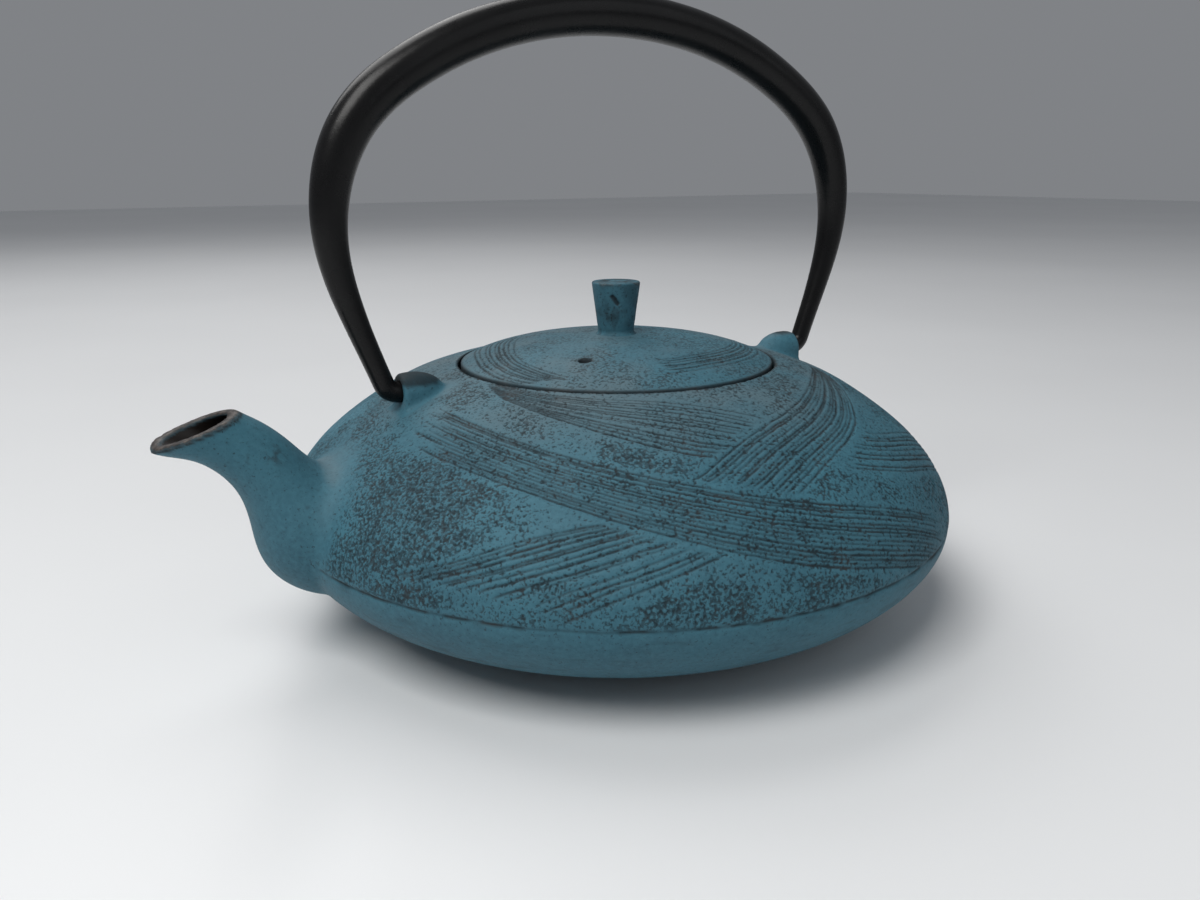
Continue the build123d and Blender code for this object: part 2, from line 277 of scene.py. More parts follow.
def lacquer_material():
    """Baked black lacquer on the handle: satin, with faint unevenness and dust."""
    s = Shader("black_lacquer")
    cloud = s.noise(55.0, 4)
    base = s.ramp(cloud, [(0.3, (0.0035, 0.0035, 0.0038)), (0.7, (0.0065, 0.0065, 0.0068))])
    base = s.mix(s.ramp(s.noise(2200.0, 2), [(0.72, 0.0), (0.80, 0.15)]), base, (0.04, 0.04, 0.04))
    rough = s.ramp(s.noise(160.0, 4), [(0.3, 0.24), (0.7, 0.32)])
    skin = s.bump(s.noise(420.0, 3, 0.5), 0.00010, 0.35)
    return s.set(Base_Color=base, Roughness=rough, Normal=skin, Specular_IOR_Level=0.20)


def steel_material(name, tint, rough_low, rough_high, brushed):
    """Stainless or plain steel with fine marks that run round the pot's axis."""
    s = Shader(name)
    place = s.add("SeparateXYZ", {"Vector": s.add("TexCoord").outputs["Object"]})
    squash = s.add("CombineXYZ", {
        "X": s.maths("MULTIPLY", place.outputs["X"], 0.15),
        "Y": s.maths("MULTIPLY", place.outputs["Y"], 0.15),
        "Z": place.outputs["Z"],
    }).outputs["Vector"]
    marks = s.noise(6000.0 if brushed else 900.0, 3, 0.6, at=squash)
    base = s.mix(s.ramp(marks, [(0.3, 0.0), (0.7, 1.0)]), tuple(0.82 * c for c in tint), tint)
    base = s.mix(s.ramp(s.noise(90.0, 4), [(0.45, 0.0), (0.8, 0.35)]), base,
                 tuple(0.6 * c for c in tint))
    rough = s.ramp(marks, [(0.3, rough_low), (0.7, rough_high)])
    skin = s.bump(marks, 0.00004, 0.5)
    return s.set(Base_Color=base, Metallic=1.0, Roughness=rough, Normal=skin)


# ---------------------------------------------------------------- mesh helpers
def new_piece(name, points, faces, material, attributes=None, smooth=True):
    """A mesh object from points in millimetres, with float attributes on its points.
    faces is one array of faces, or a list of arrays with different numbers of corners."""
    mesh = bpy.data.meshes.new(name)
    groups = faces if isinstance(faces, list) else [faces]
    corners = np.concatenate([group.ravel() for group in groups]).astype(np.int32)
    totals = np.concatenate([np.full(len(group), group.shape[1]) for group in groups]).astype(np.int32)
    starts = np.r_[0, np.cumsum(totals)[:-1]].astype(np.int32)
    mesh.vertices.add(len(points))
    mesh.vertices.foreach_set("co", (np.asarray(points, float) * MM).ravel())
    mesh.loops.add(len(corners))
    mesh.loops.foreach_set("vertex_index", corners)
    mesh.polygons.add(len(totals))
    mesh.polygons.foreach_set("loop_start", starts)
    mesh.polygons.foreach_set("loop_total", totals)
    mesh.update(calc_edges=True)
    mesh.validate()
    if smooth:
        mesh.shade_smooth()
    for key, values in (attributes or {}).items():
        layer = mesh.attributes.new(key, "FLOAT", "POINT")
        layer.data.foreach_set("value", np.asarray(values, np.float32))
    mesh.materials.append(material)
    piece = bpy.data.objects.new(name, mesh)
    bpy.context.scene.collection.objects.link(piece)
    return piece


def clamped_line(points, start, end, steps):
    """A smooth plane curve through points, with given directions at its two ends."""
    points = np.array(points, float)
    start, end = (np.array(v, float) / np.linalg.norm(v) for v in (start, end))
    return through(chord_knots(points), points, start, end, steps)


def chord_knots(points):
    """How far along a line each of its points is."""
    return np.r_[0, np.cumsum(np.linalg.norm(np.diff(points, axis=0), axis=1))]


def through(knots, points, start, end, steps):
    """Rows of a cubic spline through points at knots, with given slopes at its ends."""
    gap = np.diff(knots)
    n = len(points)
    rows, right_side = np.zeros((n, n)), np.zeros(points.shape)
    rows[0, 0] = rows[-1, -1] = 1
    right_side[0], right_side[-1] = start, end
    for i in range(1, n - 1):
        a, b = gap[i - 1], gap[i]
        rows[i, i - 1:i + 2] = b, 2 * (a + b), a
        rise_before, rise_after = (points[i] - points[i - 1]) / a, (points[i + 1] - points[i]) / b
        right_side[i] = 3 * (b * rise_before + a * rise_after)
    slopes = np.linalg.solve(rows, right_side)
    along = np.linspace(0, knots[-1], steps)
    k = np.clip(np.searchsorted(knots, along, side="right") - 1, 0, n - 2)
    t = ((along - knots[k]) / gap[k])[:, None]
    width = gap[k][:, None]
    return (
        (2 * t**3 - 3 * t**2 + 1) * points[k] + (t**3 - 2 * t**2 + t) * width * slopes[k]
        + (3 * t**2 - 2 * t**3) * points[k + 1] + (t**3 - t**2) * width * slopes[k + 1]
    )


def arc(centre, radius, start_deg, end_deg, steps=8):
    """Points on a circle in the plane of a section."""
    angles = np.radians(np.linspace(start_deg, end_deg, steps))
    return [(centre[0] + radius * math.cos(a), centre[1] + radius * math.sin(a)) for a in angles]


def revolved(profile, segments):
    """Points and quads of a closed profile of (r, z) turned about the pot's axis."""
    profile = np.array(profile, float)
    count = len(profile)
    angles = np.linspace(0, 2 * math.pi, segments, endpoint=False)
    ring_r = profile[:, 0][None, :]
    points = np.stack([
        np.cos(angles)[:, None] * ring_r,
        np.sin(angles)[:, None] * ring_r,
        np.broadcast_to(profile[:, 1][None, :], (segments, count)),
    ], axis=-1).reshape(-1, 3)
    i, j = np.meshgrid(np.arange(segments), np.arange(count), indexing="ij")
    i_next, j_next = (i + 1) % segments, (j + 1) % count
    faces = np.stack([
        i * count + j, i_next * count + j, i_next * count + j_next, i * count + j_next
    ], axis=-1).reshape(-1, 4)
    return points, faces


def swept(line, radii, sides, closed=False):
    """Points and quads of a round tube along a 3-D line, its ends closed by shrinking rings."""
    line = np.asarray(line, float)
    radii = np.broadcast_to(np.asarray(radii, float), (len(line),)).copy()
    if not closed:
        ahead, behind = line[-1] - line[-2], line[0] - line[1]
        line = np.vstack([line[0] + behind * 1e-4, line, line[-1] + ahead * 1e-4])
        radii = np.r_[radii[0] * 1e-3, radii, radii[-1] * 1e-3]
    before = np.roll(line, 1, axis=0)
    after = np.roll(line, -1, axis=0)
    along = after - before
    if not closed:
        along[0], along[1] = line[2] - line[1], line[2] - line[1]
        along[-1], along[-2] = line[-2] - line[-3], line[-2] - line[-3]
    along /= np.linalg.norm(along, axis=1)[:, None]
    side = np.zeros_like(line)
    guess = np.array([0.0, 0.0, 1.0]) if abs(along[0][2]) < 0.9 else np.array([0.0, 1.0, 0.0])
    current = guess - along[0] * guess.dot(along[0])
    for i in range(len(line)):
        current = current - along[i] * current.dot(along[i])
        current /= np.linalg.norm(current)
        side[i] = current
    other = np.cross(along, side)
    turn = np.linspace(0, 2 * math.pi, sides, endpoint=False)
    points = (
        line[:, None] + radii[:, None, None] * (
            np.cos(turn)[None, :, None] * side[:, None] + np.sin(turn)[None, :, None] * other[:, None]
        )
    ).reshape(-1, 3)
    count = len(line)
    rows = count if closed else count - 1
    i, j = np.meshgrid(np.arange(rows), np.arange(sides), indexing="ij")
    i_next, j_next = (i + 1) % count, (j + 1) % sides
    faces = np.stack([
        i * sides + j, i * sides + j_next, i_next * sides + j_next, i_next * sides + j
    ], axis=-1).reshape(-1, 4)
    return points, faces


def joined(parts):
    """Several (points, faces) as one."""
    points, faces, start = [], [], 0
    for p, f in parts:
        points.append(p)
        faces.append(f + start)
        start += len(p)
    return np.vstack(points), np.vstack(faces)


# ---------------------------------------------------------------- noise
class Lattice:
    """Smooth random values in space, the same on each run."""

    SIZE = 64

    def __init__(self, seed):
        random = np.random.RandomState(seed)
        self.values = random.rand(self.SIZE, self.SIZE, self.SIZE).astype(np.float32)

    def at(self, points, scale):
        """Values from 0 to 1, with features about scale millimetres wide."""
        p = np.asarray(points, np.float32) / scale
        base = np.floor(p)
        t = p - base
        t = t * t * (3 - 2 * t)
        i = base.astype(np.int64) % self.SIZE
        j = (i + 1) % self.SIZE
        v = self.values
        x0, y0, z0, x1, y1, z1 = i[:, 0], i[:, 1], i[:, 2], j[:, 0], j[:, 1], j[:, 2]
        tx, ty, tz = t[:, 0], t[:, 1], t[:, 2]
        a = v[x0, y0, z0] * (1 - tx) + v[x1, y0, z0] * tx
        b = v[x0, y1, z0] * (1 - tx) + v[x1, y1, z0] * tx
        c = v[x0, y0, z1] * (1 - tx) + v[x1, y0, z1] * tx
        d = v[x0, y1, z1] * (1 - tx) + v[x1, y1, z1] * tx
        return (a * (1 - ty) + b * ty) * (1 - tz) + (c * (1 - ty) + d * ty) * tz

    def layered(self, points, scale, layers=3):
        total, weight, share = 0.0, 0.0, 1.0
        for k in range(layers):
            total = total + share * self.at(np.asarray(points) + 17.3 * k, scale / 2**k)
            weight += share
            share *= 0.55
        return total / weight


lattice = Lattice(SEED)


def step(values, low, high):
    """0 below low, 1 above high, smooth between."""
    t = np.clip((values - low) / (high - low), 0, 1)
    return t * t * (3 - 2 * t)


def near(gap, width):
    """1 where gap is 0, falling to nothing past about twice width."""
    return np.exp(-(gap / width)**2)


def read_grid(table, u, v):
    """A table's values at places u, v in cells, by interpolation, held at its edges."""
    u = np.clip(u, 0, table.shape[0] - 1.001)
    v = np.clip(v, 0, table.shape[1] - 1.001)
    i, j = u.astype(int), v.astype(int)
    fu, fv = u - i, v - j
    return (
        (table[i, j] * (1 - fu) + table[i + 1, j] * fu) * (1 - fv)
        + (table[i, j + 1] * (1 - fu) + table[i + 1, j + 1] * fu) * fv
    )


# ---------------------------------------------------------------- implicit solids
def blend_min(a, b, reach):
    """Union of two distance fields with a fillet."""
    h = np.clip(0.5 + 0.5 * (b - a) / reach, 0, 1)
    return b * (1 - h) + a * h - reach * h * (1 - h)


def blend_max(a, b, reach):
    """What two distance fields share, with a rounded edge."""
    return -blend_min(-a, -b, reach)


class SectionField:
    """Signed distance to a closed (r, z) section, kept on a grid and read by interpolation."""

    CELL = 0.25

    def __init__(self, outline, margin=6.0):
        outline = np.array(outline, float)
        self.low = outline.min(0) - margin
        size = np.ceil((outline.max(0) + margin - self.low) / self.CELL).astype(int) + 1
        r = self.low[0] + self.CELL * np.arange(size[0])
        z = self.low[1] + self.CELL * np.arange(size[1])
        grid_r, grid_z = np.meshgrid(r, z, indexing="ij")
        nearest = np.full(grid_r.shape, 1e9)
        inside = np.zeros(grid_r.shape, bool)
        for (r0, z0), (r1, z1) in zip(outline, np.roll(outline, -1, axis=0)):
            dr, dz = r1 - r0, z1 - z0
            length = dr * dr + dz * dz
            if length < 1e-12:
                continue
            t = np.clip(((grid_r - r0) * dr + (grid_z - z0) * dz) / length, 0, 1)
            gap = (grid_r - r0 - t * dr)**2 + (grid_z - z0 - t * dz)**2
            if not (abs(r0) < 1e-6 and abs(r1) < 1e-6):
                nearest = np.minimum(nearest, gap)
            crosses = (z0 > grid_z) != (z1 > grid_z)
            if dz:
                inside ^= crosses & (grid_r < r0 + (grid_z - z0) * dr / dz)
        self.table = np.where(inside, -1, 1) * np.sqrt(nearest)

    def at(self, r, z):
        return read_grid(self.table, (r - self.low[0]) / self.CELL, (z - self.low[1]) / self.CELL)


def meshed(field, low, high, voxel):
    """Points and quads of field(points) = 0 inside a box, at an even voxel spacing."""
    block = 4
    low = np.array(low, float)
    blocks = np.ceil((np.array(high, float) - low) / (voxel * block)).astype(int)
    centres = np.stack(np.meshgrid(*[np.arange(n) for n in blocks], indexing="ij"), -1).reshape(-1, 3)
    middle = low + (centres + 0.5) * block * voxel - voxel / 2
    rough = field(middle)
    near = np.abs(rough) < block * voxel * 1.25 + 0.6
    limit = 3 * voxel
    whole = np.repeat(np.repeat(np.repeat(
        np.sign(rough).reshape(blocks) * limit, block, 0), block, 1), block, 2).astype(np.float32)
    offsets = np.stack(np.meshgrid(*[np.arange(block)] * 3, indexing="ij"), -1).reshape(-1, 3)
    cells = (centres[near][:, None] * block + offsets[None]).reshape(-1, 3)
    values = np.clip(field(low + cells * voxel), -limit, limit)
    whole[cells[:, 0], cells[:, 1], cells[:, 2]] = values
    grid = openvdb.FloatGrid(limit)
    grid.copyFromArray(whole)
    grid.gridClass = "level set"
    points, quads = grid.convertToQuads(isovalue=0)
    return low + np.asarray(points, float) * voxel, np.asarray(quads, np.int64)[:, ::-1]


def steepness(field, points, reach=0.12):
    """The field's slope at each point."""
    return np.stack([
        field(points + axis * reach) - field(points - axis * reach) for axis in np.eye(3)
    ], axis=-1) / (2 * reach)


def slope_of(field, points):
    """The field's unit slope at each point."""
    slope = steepness(field, points)
    return slope / np.maximum(np.linalg.norm(slope, axis=1), 1e-9)[:, None]


def settled(field, points, rounds=2):
    """Points moved along the field's slope onto its zero surface."""
    for _ in range(rounds):
        slope = steepness(field, points)
        size = np.maximum(np.linalg.norm(slope, axis=1), 0.3)
        move = np.clip(field(points) / size, -0.5, 0.5) / size
        points = points - slope * move[:, None]
    return points


def split_quads(points, quads, chosen):
    """Chosen quads cut in four. A quad beside them takes the cut edge's middle point."""
    edges = np.sort(np.stack([quads, np.roll(quads, -1, axis=1)], -1).reshape(-1, 2), axis=1)
    key = edges[:, 0] * (len(points) + 1) + edges[:, 1]
    cut_keys = np.unique(key.reshape(-1, 4)[chosen])
    middles = np.stack([cut_keys // (len(points) + 1), cut_keys % (len(points) + 1)], -1)
    middle_points = points[middles].mean(1)
    spot = np.searchsorted(cut_keys, key).clip(0, len(cut_keys) - 1)
    has_cut = (cut_keys[spot] == key).reshape(-1, 4)
    middle_id = (len(points) + spot).reshape(-1, 4)
    whole = quads[chosen]
    centre_id = len(points) + len(cut_keys) + np.arange(len(whole))
    centre_points = points[whole].mean(1)
    around = middle_id[chosen]
    fours = [
        np.stack([whole[:, k], around[:, k], centre_id, around[:, (k + 3) % 4]], -1) for k in range(4)
    ]
    untouched = ~chosen & ~has_cut.any(1)
    beside = np.flatnonzero(~chosen & has_cut.any(1))
    odd = []
    for q in beside:
        loop = []
        for k in range(4):
            loop.append(quads[q, k])
            if has_cut[q, k]:
                loop.append(middle_id[q, k])
        start = next(i for i, v in enumerate(loop) if v >= len(points))
        loop = loop[start:] + loop[:start]
        for k in range(1, len(loop) - 1):
            odd.append((loop[0], loop[k], loop[k + 1], loop[k + 1]))
    all_quads = np.vstack([quads[untouched]] + fours)
    triangles = np.array(odd, np.int64).reshape(-1, 4)[:, :3]
    return np.vstack([points, middle_points, centre_points]), all_quads, triangles


# ---------------------------------------------------------------- the pot's shape
def shell_outline(inset=0.0):
    """The pot's outer section, or the cavity inside it, as a closed line of (r, z)."""
    under = clamped_line(
        [(FOOT_R, FOOT_H), (60.0, 4.2), (76.8, 13.3), (BELT_R, BELT_Z)], (1, 0.1), (0, 1), 60)
    over = clamped_line(
        [(BELT_R, BELT_Z), (77.5, 38.7), (65.7, 48.9), (53.7, 55.9), (MOUTH_R, MOUTH_Z)],
        (0, 1), (-1, 0.24), 90)
    line = np.vstack([under, over[1:]])
    if inset:
        along = np.gradient(line, axis=0)
        along /= np.linalg.norm(along, axis=1)[:, None]
        line = line + inset * np.stack([-along[:, 1], along[:, 0]], -1)
        line = line[line[:, 1] > inset]
        return np.vstack([(0, inset), (FOOT_R - inset, inset), line, (0, line[-1][1])])
    return np.vstack([(0, 0), (FOOT_R - 0.4, 0), (FOOT_R, 0.4), line, (0, MOUTH_Z)])


# Each station of the spout: centre x and z, half width across Y, half height, rise, wall
SPOUT_STATIONS = np.array([
    (-60.0, 29.0, 17.4, 15.4, 0.0, 3.0),
    (-70.0, 28.6, 17.0, 15.1, 3.0, 3.0),
    (-77.6, 29.2, 15.8, 14.6, 14.0, 3.0),
    (-83.2, 33.3, 13.6, 12.8, 31.5, 3.0),
    (-86.0, 39.1, 10.9, 10.0, 38.5, 2.2),
    (-88.8, 45.0, 8.9, 8.1, 37.5, 2.0),
    (-92.7, 49.8, 7.6, 7.0, 37.0, 2.0),
    (-97.5, 53.5, 6.9, 6.7, 42.0, 2.0),
    (-105.4, 58.1, 7.0, 8.1, 39.5, 2.0),
])
SPOUT_BACK = np.array([-92.9, 58.4])
SPOUT_TIP = np.array([-110.2, 52.9])


class SpoutField:
    """Which of the spout's slanted elliptical sections each point of XZ lies in, and how far
    off its centre."""

    CELL = 0.5

    def __init__(self):
        knots = chord_knots(SPOUT_STATIONS[:, :2])
        level = np.array([-1.0, 0, 0, 0, 0, 0])
        rising = np.array([-0.86, 0.5, 0, 0, 0, 0])
        self.stations = through(knots, SPOUT_STATIONS, level, rising, 240)
        self.sizes = self.stations[:, [2, 3, 5]]
        self.low = np.array([-118.0, 0.0])
        x = np.arange(self.low[0], -50, self.CELL)
        z = np.arange(self.low[1], 75, self.CELL)
        grid = np.stack(np.meshgrid(x, z, indexing="ij"), -1)
        ahead, off = self._section(0, grid)
        best = np.full(grid.shape[:2], 1e9)
        self.along = np.zeros(grid.shape[:2])
        self.off = off.copy()
        for k in range(len(self.stations) - 1):
            next_ahead, next_off = self._section(k + 1, grid)
            t = np.clip(ahead / np.maximum(ahead - next_ahead, 1e-6), 0, 1)
            here = off * (1 - t) + next_off * t
            reach = np.abs(here) / self.stations[k, 3]
            better = (ahead >= 0) & (next_ahead < 0) & (reach < best)
            best = np.where(better, reach, best)
            self.along = np.where(better, k + t, self.along)
            self.off = np.where(better, here, self.off)
            ahead, off = next_ahead, next_off
        beyond = (ahead >= 0) & (best > 1e8)
        self.along = np.where(beyond, len(self.stations) - 1.001, self.along)
        self.off = np.where(beyond, off, self.off)

    def _section(self, k, grid):
        """Distances ahead of station k's plane, and along it from its centre."""
        x, z = self.stations[k, :2]
        rise = math.radians(self.stations[k, 4])
        gap = grid - (x, z)
        ahead = -gap[..., 0] * math.cos(rise) + gap[..., 1] * math.sin(rise)
        return ahead, gap[..., 0] * math.sin(rise) + gap[..., 1] * math.cos(rise)

    def past_end(self, points):
        """Distance past the plane of the last station."""
        return self._section(-1, points[:, [0, 2]])[0]

    def at(self, points, thinner=False):
        """Signed distance to the spout's outside, or to its bore if thinner."""
        u = (points[:, 0] - self.low[0]) / self.CELL
        v = (points[:, 2] - self.low[1]) / self.CELL
        shape = self.along.shape
        within = (u > 0) & (v > 0) & (u < shape[0] - 2) & (v < shape[1] - 2)
        value = np.full(len(points), 40.0)
        u, v, y = u[within], v[within], points[within, 1]
        along, off = read_grid(self.along, u, v), read_grid(self.off, u, v)
        k = np.clip(along.astype(int), 0, len(self.sizes) - 2)
        share = (along - k)[:, None]
        half_w, half_h, wall = (self.sizes[k] * (1 - share) + self.sizes[k + 1] * share).T
        if thinner:
            half_w, half_h = half_w - wall, half_h - wall
        reach = np.sqrt((y / half_w)**2 + (off / half_h)**2)
        steep = np.sqrt((y / half_w**2)**2 + (off / half_h**2)**2)
        value[within] = np.where(
            reach > 1e-3, reach * (reach - 1) / np.maximum(steep, 1e-6), -np.minimum(half_w, half_h))
        return value


LUG_FACE_X = 57.4
LUG_CENTRE_X = 54.6
LUG_HALF_LENGTH = 7.8
LUG_HALF_W = 4.7
LUG_DOME_Z = 57.7
HOOK_HOLE_R = 2.46
HOOK_HOLE_DEPTH = 5.6
HOOK_HOLE_END_X = LUG_FACE_X - HOOK_HOLE_DEPTH
CUT_PAST = 3.0

outer_section = SectionField(shell_outline())
cavity_section = SectionField(shell_outline(WALL))
spout_field = SpoutField()
mouth_normal = np.array([SPOUT_TIP[1] - SPOUT_BACK[1], SPOUT_BACK[0] - SPOUT_TIP[0]])
mouth_normal /= np.linalg.norm(mouth_normal)


def lug_field(x, y, z):
    """Both lugs: egg-shaped knobs on straight-sided feet, cut flat on the outside."""
    along = (np.abs(x) - LUG_CENTRE_X) / LUG_HALF_LENGTH
    rise = np.maximum(z - LUG_DOME_Z, 0) / LUG_HALF_W
    reach = np.sqrt(along**2 + (y / LUG_HALF_W)**2 + rise**2)
    dome = (reach - 1) * LUG_HALF_W
    return blend_max(dome, np.abs(x) - LUG_FACE_X, 0.7)


def mouth_side(points):
    """Distance above the slanted cut of the spout's mouth."""
    return (points[:, [0, 2]] - SPOUT_BACK) @ mouth_normal


def pot_field(points):
    """Signed distance, near the surface, to the whole casting. The number that ends each
    blend is the fillet or the rounding there."""
    x, y, z = points.T
    r = np.hypot(x, y)
    spout = blend_max(spout_field.at(points), spout_field.past_end(points), 0.8)
    spout = blend_max(spout, mouth_side(points), 0.5)
    root_fillet = 0.8 + 3.7 * step(z, 16, 44)
    solid = blend_min(outer_section.at(r, z), spout, root_fillet)
    solid = blend_min(solid, lug_field(x, y, z), 1.7)
    bore = spout_field.at(points, thinner=True)
    hollow = blend_min(cavity_section.at(r, z), bore, 1.5)
    solid = blend_max(solid, -hollow, 0.6)
    neck_ends = np.maximum(NECK_BOTTOM_Z - z, z - (MOUTH_Z - NECK_BELOW_MOUTH))
    neck = np.maximum(np.maximum(r - NECK_R, THROAT_R - r), neck_ends)
    solid = blend_min(solid, neck, 1.2)
    recess = np.maximum(r - MOUTH_R, SEAT_Z - z)
    solid = blend_max(solid, -recess, 0.3)
    throat = np.maximum(r - THROAT_R, NECK_BOTTOM_Z - CUT_PAST - z)
    solid = blend_max(solid, -throat, 0.5)
    hole_ends = np.maximum(HOOK_HOLE_END_X - np.abs(x), np.abs(x) - LUG_FACE_X - CUT_PAST)
    hook_hole = np.maximum(np.hypot(y, z - HINGE_Z) - HOOK_HOLE_R, hole_ends)
    return blend_max(solid, -hook_hole, 0.4)


# ---------------------------------------------------------------- the brushed pattern
LINE_WAVER = 0.22


class StrokeSheet:
    """The mould's surface laid flat, with how deep the brush lines are and where strokes lie.
    Its plane is the pot seen from above with each point as far out as the surface is long."""

    CELL = 0.2
    WIPED = 0.85
    FRAYED = 0.06

    def __init__(self, half):
        self.half = half
        n = int(2 * half / self.CELL) + 1
        axis = np.linspace(-half, half, n)
        self.u, self.v = np.meshgrid(axis, axis, indexing="ij")
        self.line = np.zeros((n, n), np.float32)
        self.cover = np.zeros((n, n), np.float32)

    def stroke(self, near_edge, far_edge, lines, seed):
        """One pass of the brush between two edge curves, each given by three to five points.
        It wipes what it passes over, and leaves its own lines."""
        random = np.random.RandomState(SEED + 31 * seed)
        near_edge, far_edge = (smooth_curve(edge, 260) for edge in (near_edge, far_edge))
        wipe = np.zeros_like(self.line)
        for share in np.linspace(-0.03, 1.03, int(lines * 3)):
            path = near_edge * (1 - share) + far_edge * share
            self._splat(wipe, path, np.ones(len(path)), 0.85)
        self.line *= 1 - self.WIPED * np.clip(wipe, 0, 1)
        self.cover = np.maximum(self.cover, np.clip(wipe, 0, 1))
        fresh = np.zeros_like(self.line)
        along = np.linspace(0, 1, len(near_edge))
        for k in range(lines):
            share = (k + 0.5 + 0.24 * random.uniform(-1, 1)) / lines
            wander = 0.12 * np.interp(along, np.linspace(0, 1, 7), random.uniform(-1, 1, 7)) / lines
            place = (share + wander)[:, None]
            path = near_edge * (1 - place) + far_edge * place
            start, end = self.FRAYED * random.rand(), 1 - self.FRAYED * random.rand()
            strength = step(along, start, start + 0.05) * (1 - step(along, end - 0.05, end))
            press = np.interp(along, np.linspace(0, 1, 18), random.uniform(0.6, 1.0, 18))
            gaps = np.interp(along, np.linspace(0, 1, 90), random.rand(90))
            strength = strength * press * (0.6 + 0.4 * step(gaps, 0.08, 0.25))
            strength = strength * random.choice([0.7, 0.85, 1.0, 1.0])
            self._splat(fresh, path, strength, random.uniform(0.22, 0.30))
        self.line = np.maximum(self.line, fresh)

    def _splat(self, sheet, path, strength, width):
        """Draws a soft line of that half width onto sheet, keeping the strongest value."""
        length = chord_knots(path)
        places = np.arange(0, length[-1], self.CELL * 0.8)
        u = np.interp(places, length, path[:, 0])
        v = np.interp(places, length, path[:, 1])
        force = np.interp(places, length, strength)
        reach = int(math.ceil(2.2 * width / self.CELL))
        i0 = np.round((u + self.half) / self.CELL).astype(int)
        j0 = np.round((v + self.half) / self.CELL).astype(int)
        for di in range(-reach, reach + 1):
            for dj in range(-reach, reach + 1):
                i, j = i0 + di, j0 + dj
                ok = (i >= 0) & (j >= 0) & (i < sheet.shape[0]) & (j < sheet.shape[1])
                gap = (i * self.CELL - self.half - u)**2 + (j * self.CELL - self.half - v)**2
                value = (force * np.exp(-gap / (width * width)))[ok]
                np.maximum.at(sheet, (i[ok], j[ok]), value.astype(np.float32))

    def _read(self, sheet, u, v):
        return read_grid(sheet, (u + self.half) / self.CELL, (v + self.half) / self.CELL)

    def lines_and_cover(self, points, u, v):
        """How deep the lines are at points, which lie at u, v on the sheet, and how far
        strokes cover them. The lines waver a little, as in sand."""
        waver = LINE_WAVER * np.stack([lattice.at(points + o, 2.6) - 0.5 for o in (3, 57)], -1)
        return self._read(self.line, u + waver[:, 0], v + waver[:, 1]), self._read(self.cover, u, v)


def smooth_curve(points, steps):
    """A curve through three or more points of a plane, whose ends bend on as they came."""
    points = np.array(points, float)
    leg = np.diff(points, axis=0)
    return clamped_line(points, leg[0] - 0.5 * leg[1], leg[-1] - 0.5 * leg[-2], steps)


# The shell's outer line from the mouth to the belt gives the sheet's distance from the pole
shoulder_line = clamped_line(
    [(MOUTH_R, MOUTH_Z), (53.7, 55.9), (65.7, 48.9), (77.5, 38.7), (BELT_R, BELT_Z)],
    (1, -0.24), (0, -1), 200)
shoulder_run = MOUTH_R + 1 + chord_knots(shoulder_line)


def sheet_place(points):
    """A shell point's place on the flat sheet, by its height over the belt and its bearing."""
    z = np.clip(points[:, 2], BELT_Z, MOUTH_Z)
    run = np.interp(-z, -shoulder_line[:, 1], shoulder_run)
    bearing = np.arctan2(points[:, 1], points[:, 0])
    return run * np.cos(bearing), run * np.sin(bearing)


def shell_strokes():
    """All the brush strokes on the pot, oldest first, each as its two edges and its number of
    lines."""
    sheet = StrokeSheet(104.0)
    strokes = [
        # round the back and the sides, in the same hand as the front
        ([(60, 20), (52, 60), (20, 82)], [(73, 26), (64, 70), (24, 97)], 12),
        ([(20, 50), (-20, 62), (-62, 48)], [(16, 64), (-24, 77), (-76, 56)], 12),
        ([(-40, 24), (-56, 52), (-50, 84)], [(-52, 18), (-70, 50), (-66, 74)], 11),
        ([(52, -8), (60, 22), (44, 50)], [(64, -14), (75, 22), (56, 60)], 11),
        ([(-10, 88), (30, 80), (66, 62)], [(-12, 99), (36, 92), (78, 66)], 9),
        ([(-88, 12), (-74, 36), (-48, 50)], [(-98, 20), (-84, 48), (-56, 64)], 9),
        ([(88, -30), (84, 8), (70, 44)], [(99, -28), (96, 12), (80, 54)], 9),
        ([(20, 44), (-4, 46), (-30, 36)], [(22, 54), (-6, 57), (-38, 44)], 9),
        # the far right, near level
        ([(31, -60), (55, -52), (76, -38)], [(13, -71), (41, -71), (68, -60), (82, -46)], 9),
        # under the lid
        ([(-41, -6), (-29, -32), (-14, -43), (6, -57)],
         [(-42, -14), (-37, -38), (-25, -56), (-8, -65)], 13),
        # rising to the right of the lid
        ([(-27, -66), (-11, -63), (12, -54), (38, -33), (46, -16)],
         [(-8, -79), (11, -71), (30, -59), (43, -40), (50, -18)], 15),
        # the fan from the lower left
        ([(-88, -39), (-73, -52), (-60, -59), (-30, -72)],
         [(-60, -80), (-48, -82), (-36, -84), (-6, -83)], 14),
        # the long band across the front
        ([(-54, -6), (-43, -45), (-24, -66), (0, -78), (52, -80)],
         [(-65, -14), (-54, -49), (-36, -73), (-7, -91), (58, -91)], 15),
    ]
    for k, (near_edge, far_edge, lines) in enumerate(strokes):
        sheet.stroke(near_edge, far_edge, lines, seed=k)
    return sheet


